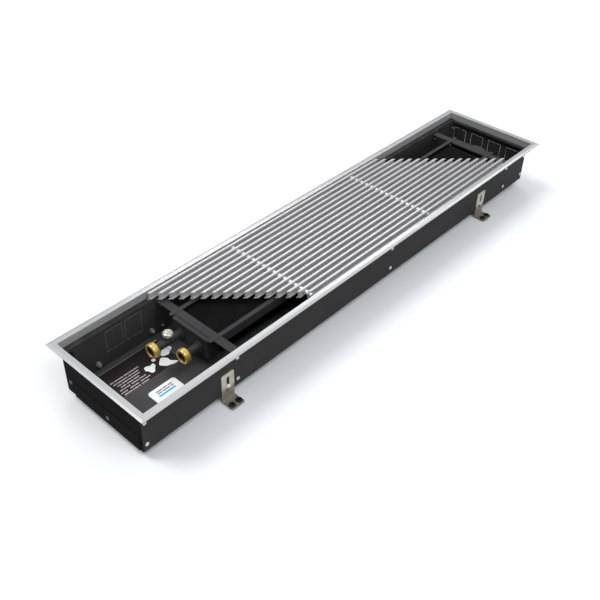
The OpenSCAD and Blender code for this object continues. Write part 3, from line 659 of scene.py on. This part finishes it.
# %% Pleated fins
fin_low, fin_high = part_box("fin_pack")
PITCH = 6 * MM
PLEAT = 0.7 * MM
FIN_SHEET = 0.3 * MM
fin_count = round((fin_high.x - fin_low.x) / PITCH)
pleats = 24
shape = bmesh.new()
bmesh.ops.create_grid(shape, x_segments=pleats, y_segments=1, size=0.5)
bmesh.ops.scale(shape, vec=(fin_high.y - fin_low.y, fin_high.z - fin_low.z, 1), verts=shape.verts)
for vert in shape.verts:
    column = round((vert.co.x / (fin_high.y - fin_low.y) + 0.5) * pleats)
    vert.co.z += PLEAT if column % 2 else -PLEAT
turn = Matrix(((0, 0, 1), (1, 0, 0), (0, 1, 0)))
bmesh.ops.rotate(shape, cent=(0, 0, 0), matrix=turn, verts=shape.verts)
first = Vector((fin_low.x + PITCH / 2, 0, (fin_low.z + fin_high.z) / 2))
bmesh.ops.translate(shape, vec=first, verts=shape.verts)
one_fin = list(shape.verts) + list(shape.edges) + list(shape.faces)
for step in range(1, fin_count):
    copied = bmesh.ops.duplicate(shape, geom=one_fin)["geom"]
    moved = [part for part in copied if isinstance(part, bmesh.types.BMVert)]
    bmesh.ops.translate(shape, vec=(step * PITCH, 0, 0), verts=moved)
fins = finished("fins", shape, fin_coat, "trench", ["fin_pack"])
thick = fins.modifiers.new("Sheet", "SOLIDIFY")
thick.thickness = FIN_SHEET
thick.offset = 0
print("fins:", fin_count, "faces:", len(fins.data.polygons))

# %% [markdown]
# Round parts are made the way a lathe makes them. An outline of distances from the axis and
# heights is drawn as a closed line, its corners are rounded with a vertex bevel, and a spin sweeps
# it all the way round. The result is turned so that its axis points the right way.

# %% Turn an outline on the lathe
def lathe(shape, outline, steps, axis, at):
    """Each entry of outline is distance from the axis, height and corner radius, in millimetres."""
    verts = [shape.verts.new((r * MM, 0, h * MM)) for r, h, _ in outline]
    for a, b in zip(verts, verts[1:] + verts[:1]):
        shape.edges.new((a, b))
    before = set(shape.verts) - set(verts)
    for vert, (_, _, round_by) in zip(verts, outline):
        if round_by:
            bmesh.ops.bevel(
                shape,
                geom=[vert],
                offset=round_by * MM,
                offset_type="OFFSET",
                affect="VERTICES",
                segments=5,
                profile=0.5,
                material=-1,
            )
    line = [v for v in shape.verts if v not in before]
    drawn = [e for e in shape.edges if e.verts[0] in line]
    bmesh.ops.spin(
        shape,
        geom=line + drawn,
        cent=(0, 0, 0),
        axis=(0, 0, 1),
        angle=math.tau,
        steps=steps,
        use_merge=True,
    )
    made = [v for v in shape.verts if v not in before]
    bmesh.ops.remove_doubles(shape, verts=made, dist=NO_SIZE)
    made = [v for v in shape.verts if v not in before]
    turn = Vector((0, 0, 1)).rotation_difference(Vector(axis)).to_matrix()
    bmesh.ops.rotate(shape, cent=(0, 0, 0), matrix=turn, verts=made)
    bmesh.ops.translate(shape, vec=Vector(at) * MM, verts=made)
    faces = {f for v in made for f in v.link_faces}
    bmesh.ops.recalc_face_normals(shape, faces=list(faces))


print("lathe ready")

# %% [markdown]
# Two brass sockets with an inside pipe thread end the tubes. Each is a fat ring with a well
# rounded rim. The thread is a thin triangle that a spin carries round the axis while it also moves
# along it, one thirty-second of the thread's pitch at a time, which gives a true helix. All radii
# and depths are in millimetres, and the depths count from the mouth of the socket.

# %% Brass sockets
ALONG_X = (1, 0, 0)
SOCKET_R = 13.5
SOCKET_LONG = 13
ROOT_R, CREST_R, THREAD_PITCH = 10.45, 9.35, 1.814
BORE_SHADE_R, BORE_SHADE_FROM = 10.6, 3.4


def thread(shape, big, small, pitch, turns, start, steps=32):
    root = shape.verts.new((big * MM, 0, start * MM))
    crest = shape.verts.new((small * MM, 0, (start + pitch * 0.45) * MM))
    top = shape.verts.new((big * MM, 0, (start + pitch * 0.9) * MM))
    face = shape.faces.new((root, crest, top))
    before = set(shape.verts) - {root, crest, top}
    bmesh.ops.spin(
        shape,
        geom=[face, *face.edges, *face.verts],
        cent=(0, 0, 0),
        axis=(0, 0, 1),
        dvec=(0, 0, pitch * MM / steps),
        angle=math.tau * turns,
        steps=steps * turns,
    )
    return [v for v in shape.verts if v not in before]


# Painted shade: this mask marks the inside of the bore beyond its mouth.
def mark_bore(shape, mouth_x, y):
    mask = shape.loops.layers.float.new("bore_shade")
    for face in shape.faces:
        middle = face.calc_center_median() / MM
        across = math.hypot(middle.y - y, middle.z - TUBE_Z)
        for corner in face.loops:
            bore_shade = across < BORE_SHADE_R and middle.x - mouth_x > BORE_SHADE_FROM
            corner[mask] = 1.0 if bore_shade else 0.0


def socket(node, y):
    mouth_x = low(node).x
    shape = bmesh.new()
    ridge = thread(shape, ROOT_R, CREST_R, THREAD_PITCH, 3, 2.9)
    turn = Matrix.Rotation(math.radians(90), 3, "Y")
    bmesh.ops.rotate(shape, cent=(0, 0, 0), matrix=turn, verts=ridge)
    bmesh.ops.translate(shape, vec=Vector((mouth_x, y, TUBE_Z)) * MM, verts=ridge)
    bmesh.ops.recalc_face_normals(shape, faces=shape.faces)
    rim = [(CREST_R, 3, 0), (CREST_R, 0, 1), (SOCKET_R, 0, 3.1)]
    back = [(SOCKET_R, SOCKET_LONG, 5), (7.6, SOCKET_LONG, 0.5)]
    bore = [(7.6, 10, 0), (10.4, 10, 0), (10.4, 3.6, 0)]
    lathe(shape, rim + back + bore, 72, ALONG_X, (mouth_x, y, TUBE_Z))
    mark_bore(shape, mouth_x, y)
    piece = finished(node + "_dressed", shape, brass, "trench", [node])
    print(node, "mouth:", round(mouth_x, 1), "faces:", len(piece.data.polygons))


socket("flow_socket", TUBE_Y)
socket("return_socket", -TUBE_Y)

# %% [markdown]
# The tubes are seamless, with a rolled collar where they enter the box and a fillet of solder at
# the socket.

# %% Water tubes
TUBE_R = 7.5
BORE_R = 6.5
COLLAR_X = BOX_FACE - 2.6


def tube(node, y):
    start, end = low(node).x, high(node).x
    weld, weld_end = start + 3, start + 5.4
    wall = [(BORE_R, start, 0), (TUBE_R, start, 0), (TUBE_R, end, 0), (BORE_R, end, 0)]
    solder = [(7.3, weld, 0), (9.2, weld, 0.6), (7.6, weld_end, 0.5), (7.3, weld_end, 0)]
    collar = [(7.3, COLLAR_X, 0), (10.2, COLLAR_X, 0.9), (10.2, BOX_FACE, 0), (7.3, BOX_FACE, 0)]
    shape = bmesh.new()
    for outline in (wall, solder, collar):
        lathe(shape, outline, 48, ALONG_X, (0, y, TUBE_Z))
    piece = finished(node + "_dressed", shape, tube_coat, "trench", [node])
    print(node, "faces:", len(piece.data.polygons))


tube("flow_tube", TUBE_Y)
tube("return_tube", -TUBE_Y)

# %% [markdown]
# The bend at the far end joins the two tubes. A filled circle is carried through half a turn by a
# spin, and each of its ends gets a sleeve and a ring of solder. Only its outside can be seen.

# %% Return bend
BEND_X = high("flow_tube").x + SHEET
SLEEVE_X = BEND_X - 12
SOLDER_X = BEND_X + 1.6
shape = bmesh.new()
ring = bmesh.ops.create_circle(shape, cap_ends=True, segments=32, radius=TUBE_R * MM)["verts"]
turn = Matrix.Rotation(math.radians(90), 3, "Y")
bmesh.ops.rotate(shape, cent=(0, 0, 0), matrix=turn, verts=ring)
bmesh.ops.translate(shape, vec=Vector((BEND_X, -TUBE_Y, TUBE_Z)) * MM, verts=ring)
bmesh.ops.spin(
    shape,
    geom=[*shape.verts, *shape.edges, *shape.faces],
    cent=Vector((BEND_X, 0, TUBE_Z)) * MM,
    axis=(0, 0, 1),
    angle=math.pi,
    steps=28,
)
bmesh.ops.recalc_face_normals(shape, faces=shape.faces)
sleeve = [(7.55, SLEEVE_X, 0), (8.5, SLEEVE_X, 0.3), (8.5, BEND_X, 0.5), (7.55, BEND_X, 0)]
solder = [(7.4, BEND_X, 0), (8.3, BEND_X, 0.3), (7.6, SOLDER_X, 0.4), (7.4, SOLDER_X, 0)]
for y in (-TUBE_Y, TUBE_Y):
    for outline in (sleeve, solder):
        lathe(shape, outline, 40, ALONG_X, (0, y, TUBE_Z))
bend = finished("return_bend_dressed", shape, bend_lit_coat, "trench", ["return_bend"])
print("bend faces:", len(bend.data.polygons))

# %% [markdown]
# The vent is a nickel plated plug with a domed head, a groove around its top and a slotted screw
# in the middle that turns. The screw is on its own body, so it is a piece of its own.

# %% Vent
UPRIGHT = (0, 0, 1)
VENT_X = (low("vent_body").x + high("vent_body").x) / 2
VENT_Z = low("vent_screw").z
shape = bmesh.new()
plug = [(2.6, -2, 0), (3.9, -2, 0.3), (3.9, 0, 0)]
head = [(9.5, 0, 0.5), (9.5, 4.6, 2), (6.9, 6, 0.5), (6, 5.2, 0.3), (4.9, 6, 0.4), (2.6, 6, 0.3)]
lathe(shape, plug + head, 64, UPRIGHT, (VENT_X, TUBE_Y, VENT_Z))
vent = finished("vent_body_dressed", shape, nickel, "trench", ["vent_body"])
rounded("vent_screw", nickel, (), 0.2, "vent_screw")
rounded("vent_boss", tube_coat, (), 0.3)
print("vent faces:", len(vent.data.polygons))

# %% [markdown]
# Four bent brackets hold the trench above the slab, with a slot in the leg for the height. Two
# rubber dampers sit in each foot, with a lip over and under the steel and a waist in its hole.

# %% Brackets and dampers
DAMPER_R = 6
HOLE_R = 2.75
LOWER_LIP = [(HOLE_R, 0, 0), (DAMPER_R, 0, 0.5), (DAMPER_R, 2, 0.4), (3.95, 2, 0)]
UPPER_LIP = [(3.95, 4, 0), (DAMPER_R, 4, 0.5), (DAMPER_R, 6, 1.1), (HOLE_R, 6, 0.15)]
for place in ("front_near", "front_far", "back_near", "back_far"):
    foot_body = "foot_" + place
    rounded("bracket_" + place, bracket_zinc, (), 0.4, foot_body)
    node = "dampers_" + place
    y = (low(node).y + high(node).y) / 2
    shape = bmesh.new()
    for x in (low(node).x + DAMPER_R, high(node).x - DAMPER_R):
        lathe(shape, LOWER_LIP + UPPER_LIP, 40, UPRIGHT, (x, y, 0))
    finished(node + "_dressed", shape, damper_rubber, foot_body, [node])
print("feet: 4")

# %% [markdown]
# Screws and nuts keep their CAD shape, with the cross recess and the hexagon, and get rounded
# edges. Those on the long walls are bright, the nuts inside greyer, and the end screws get a dark
# copy of the zinc as painted shade.

# %% Screws and nuts
for node in ("wall_screws", "clamp_screws"):
    rounded(node, screw_zinc, (), 0.25)
for node in ("clamp_nuts", "earth_stud"):
    rounded(node, nut_zinc, (), 0.25)
# Painted shade: the end screws get the dark copy of the zinc.
rounded("end_screws", end_screw_shaded_zinc, (), 0.25)
print("screws and nuts: 5 nodes")

# %% [markdown]
# The film and the label are the CAD plates with a softened rim.

# %% Film and label
rounded("info_film", dark_film, (), 0.08)
rounded("write_on_label", white_film, (), 0.08)
print("film size in mm:", [round(c, 1) for c in (high("info_film") - low("info_film"))[:2]])

# %% [markdown]
# Print is a flat shape a twentieth of a millimetre above its film. Bars come from a grid that is
# scaled and moved, and a row of dashes from such bars one after the other. Free shapes come from a
# few corner points and one face, whose corners a vertex bevel then rounds. At last an extrusion
# toward the film gives the ink its thickness, so that every mark is a closed shape.

# %% Flat printed shapes
INK_Z = high("info_film").z + 0.05
INK = 0.04
HALF_ROW = 1.1


def bar(shape, x0, x1, y0, y1):
    made = bmesh.ops.create_grid(shape, x_segments=1, y_segments=1, size=0.5)["verts"]
    bmesh.ops.scale(shape, vec=((x1 - x0) * MM, (y1 - y0) * MM, 1), verts=made)
    at = Vector(((x0 + x1) / 2, (y0 + y1) / 2, INK_Z)) * MM
    bmesh.ops.translate(shape, vec=at, verts=made)


def dashes(shape, start, end, y, lengths, gap, count):
    x = start
    while x < end - 1:
        stop = min(x + lengths[count % len(lengths)], end)
        bar(shape, x, stop, y - HALF_ROW, y + HALF_ROW)
        x = stop + gap
        count += 1
    return count


def patch(shape, corners, round_by):
    verts = [shape.verts.new((x * MM, y * MM, INK_Z * MM)) for x, y in corners]
    shape.faces.new(verts)
    bmesh.ops.bevel(
        shape,
        geom=verts,
        offset=round_by * MM,
        offset_type="OFFSET",
        affect="VERTICES",
        segments=4,
        profile=0.5,
        material=-1,
        clamp_overlap=True,
    )


def printed(name, shape, ink):
    bmesh.ops.triangulate(shape, faces=shape.faces, quad_method="BEAUTY", ngon_method="BEAUTY")
    made = bmesh.ops.extrude_face_region(shape, geom=list(shape.faces))["geom"]
    under = [part for part in made if isinstance(part, bmesh.types.BMVert)]
    bmesh.ops.translate(shape, vec=(0, 0, -INK * MM), verts=under)
    bmesh.ops.recalc_face_normals(shape, faces=shape.faces)
    piece = finished(name, shape, ink, "trench")
    print(name, "faces:", len(piece.data.polygons))


print("print ready")

# %% [markdown]
# The dark film carries rows of small marks on its left half, where a real film has its notes, and
# rounded white pointers on its right half. The rows are broken into short bars, so they read as
# notes from afar and say nothing. A thin dim line runs around the film, and a brighter line along
# its back is a painted highlight.

# %% Marks on the film
NOTE_ROWS = (
    (52.7, ((-488, -480.6), (-479.5, -462), (-460.4, -431.2))),
    (46.6, ((-486, -478.6), (-477.4, -458.4), (-456.8, -435.6))),
    (40.9, ((-482.8, -474), (-472.8, -456), (-454.8, -437.4))),
    (35.1, ((-480, -469), (-467.8, -455), (-453.6, -441.8))),
    (29.4, ((-486, -475), (-473.8, -465.4), (-462.8, -448), (-446.8, -434))),
    (23.3, ((-488, -475.4), (-470.5, -452.4), (-449, -429.4))),
    (17.6, ((-486, -471), (-469.6, -453.6), (-451.4, -435))),
)
NOTE_BARS = (4.6, 3.1, 6.2, 2.4, 5.1, 3.8, 7, 2.9)
shape = bmesh.new()
count = 0
for y, parts in NOTE_ROWS:
    for start, end in parts:
        count = dashes(shape, start, end, y, NOTE_BARS, 0.6, count)
printed("film_notes", shape, faint_ink)
print("bars in the notes:", count)

# %% [markdown]
# The border keeps a little way in from the cut edge of the film. Its back line is a painted
# highlight in two parts: a pale one, and beyond the tubes a thicker white one.

# %% Border of the film
left, right = low("info_film").x + 0.4, high("info_film").x - 0.4
front, back = low("info_film").y + 0.4, high("info_film").y
LINE = 0.7
BACK_SPLIT = -377
shape = bmesh.new()
bar(shape, left, right, front, front + LINE)
for x in (left, right - LINE):
    bar(shape, x, x + LINE, front + LINE, back - 1.2)
printed("film_border", shape, border_ink)
shape = bmesh.new()
# Painted highlight: a pale line along the back edge of the film.
bar(shape, left, BACK_SPLIT, back - 1, back - 0.5)
printed("film_back_highlight", shape, faint_ink)

# %% [markdown]
# Each pointer is a few corners around a rounded shape, and it shows nothing in particular. The
# first number of its row is the radius that rounds its corners, in millimetres.

# %% Pointers of the film
POINTERS = (
    (2.4, (-389, 46), (-386, 41.5), (-376, 38.6), (-370.5, 44), (-362.7, 46.7), (-362.5, 54.4),
     (-378.3, 56.6)),
    (2, (-407.3, 49.5), (-406.7, 42.6), (-400, 43.3), (-401.3, 49.5)),
    (1.8, (-429.5, 35.3), (-425.9, 31.6), (-424.5, 24.3), (-418.3, 23.8), (-414.2, 29.8),
     (-408.8, 34.6), (-409, 41.4), (-417.7, 39.8), (-421.3, 43.1), (-427, 43)),
    (1.8, (-405, 29.3), (-397, 19.6), (-391, 17.7), (-383.6, 15.2), (-375.4, 15.2), (-377.4, 18.5),
     (-384.6, 26.2), (-383.8, 32.9), (-389.3, 40.2), (-392.6, 41.6), (-401.6, 34.7)),
)
shape = bmesh.new()
# Painted highlight: a thick white line along the back edge beyond the tubes.
bar(shape, BACK_SPLIT + 0.6, right, back - 1.5, back - 0.4)
for round_by, *corners in POINTERS:
    patch(shape, corners, round_by)
printed("film_pointers", shape, white_ink)

# %% [markdown]
# The label has two rows of long plain dashes, where a real one says what to write on it, and a
# cyan stripe below them. The rest of it is left white for writing.

# %% Marks on the label
LABEL_BARS = (12.5, 8.5, 15)
shape = bmesh.new()
for row, y in enumerate((-14.4, -19)):
    dashes(shape, -448.8, -416.4, y, LABEL_BARS, 1.4, row)
printed("label_dashes", shape, dark_ink)
shape = bmesh.new()
bar(shape, -450.6, -417, -26.6, -23)
printed("label_stripe", shape, cyan_ink)

# %% [markdown]
# The stage is a pale floor. For the camera and in reflections it is nearly white. For scattered
# light it is a mid grey, which keeps the dark walls dark as they are in the photograph's studio.
# The shadow of the object stays on it.

# %% Floor
floor = Finish("StageFloor", Roughness=0.9, Specular_IOR_Level=0.1)
floor_tint = floor.noise(3, 2)
floor.feed(Base_Color=floor.mix(floor_tint, (0.93, 0.94, 0.955, 1), (0.95, 0.955, 0.965, 1)))
dull = floor.node("ShaderNodeBsdfDiffuse", None, {"Color": (0.35, 0.355, 0.36, 1)})
scattered = floor.node("ShaderNodeLightPath", output="Is Diffuse Ray")
plain = Wire(floor, floor.shader.outputs[0])
chosen = floor.node("ShaderNodeMixShader", None, {0: scattered, 1: plain, 2: dull})
floor.tree.links.new(chosen.socket, floor.tree.nodes["Material Output"].inputs["Surface"])
shape = bmesh.new()
bmesh.ops.create_grid(shape, x_segments=8, y_segments=8, size=12)
floor_mesh = bpy.data.meshes.new("Floor")
shape.to_mesh(floor_mesh)
shape.free()
floor_mesh.materials.append(floor.material)
floor_piece = bpy.data.objects.new("Floor", floor_mesh)
scene.collection.objects.link(floor_piece)
print("floor ready")

# %% [markdown]
# The sky of the studio is brighter above and dims toward the horizon and toward the connection
# end, whose wall is nearly black in the photograph. The camera itself sees a plain white backdrop.

# %% Sky
world = bpy.data.worlds.new("Studio")
scene.world = world
world.use_nodes = True
sky = Nodes(world.node_tree)
shown = world.node_tree.nodes["Background"]
toward = sky.node("ShaderNodeTexCoord", output="Generated")
across = sky.node("ShaderNodeSeparateXYZ", None, {"Vector": toward}, "X")
upward = sky.node("ShaderNodeSeparateXYZ", None, {"Vector": toward}, "Z")
rise = sky.step(upward, 0.4, 0.72) * 0.71 + 0.15
side = sky.step(across, -0.7, 0.15) * 0.72 + 0.28
seen = sky.node("ShaderNodeLightPath", output="Is Camera Ray")
dome = sky.mix(rise * side, (0, 0, 0, 1), (0.94, 0.97, 1, 1))
sky.tree.links.new(sky.mix(seen, dome, (1, 1, 1, 1)).socket, shown.inputs["Color"])
print("sky ready")

# %% [markdown]
# A wide sun behind the trench throws the soft shadow toward the front. A long narrow card of light
# far behind the right end is what the top of the frame mirrors, and its slant makes the reflection
# fade along the length. Two smaller cards light the slope of the frame's rim and its back length.
# A large cool fill above lights the inside and the grille, and a softbox in front keeps the long
# wall from going black.

# %% Lamps
def lamp(name, kind, at, target, power):
    made = bpy.data.objects.new(name, bpy.data.lights.new(name, kind))
    made.data.energy = power
    made.location = at
    made.rotation_euler = (Vector(target) - Vector(at)).to_track_quat("-Z", "Y").to_euler()
    scene.collection.objects.link(made)
    return made


def softbox(name, at, target, size, watts, colour=(1, 1, 1)):
    made = lamp(name, "AREA", at, target, watts)
    made.data.color = colour
    made.data.shape = "RECTANGLE"
    made.data.size, made.data.size_y = size
    return made


key = lamp("KeyBehind", "SUN", (-1.0, 1.3, 2.6), (0, 0, 0), 1.45)
key.data.angle = math.radians(30)
card = softbox("Card", (2.36, 2.24, 2.64), (0, 0, 0.1), (2.1, 0.28), 15)
card.rotation_euler.rotate_axis("Z", math.radians(9))
softbox("SlopeCard", (3.3, 0.1, 2.6), (0, 0, 0.1), (0.9, 0.6), 6)
softbox("BackCard", (1.27, 2.72, 0.62), (0, 0, 0.1), (0.9, 0.3), 2)
softbox("TopFill", (-0.8, -1.5, 2.4), (-0.2, -0.1, 0), (2.2, 1.2), 28.5, (0.93, 0.97, 1))
softbox("FrontFill", (-0.1, -2.4, 0.9), (-0.2, 0, 0.05), (1.4, 0.7), 11)
print("lamps: 6")
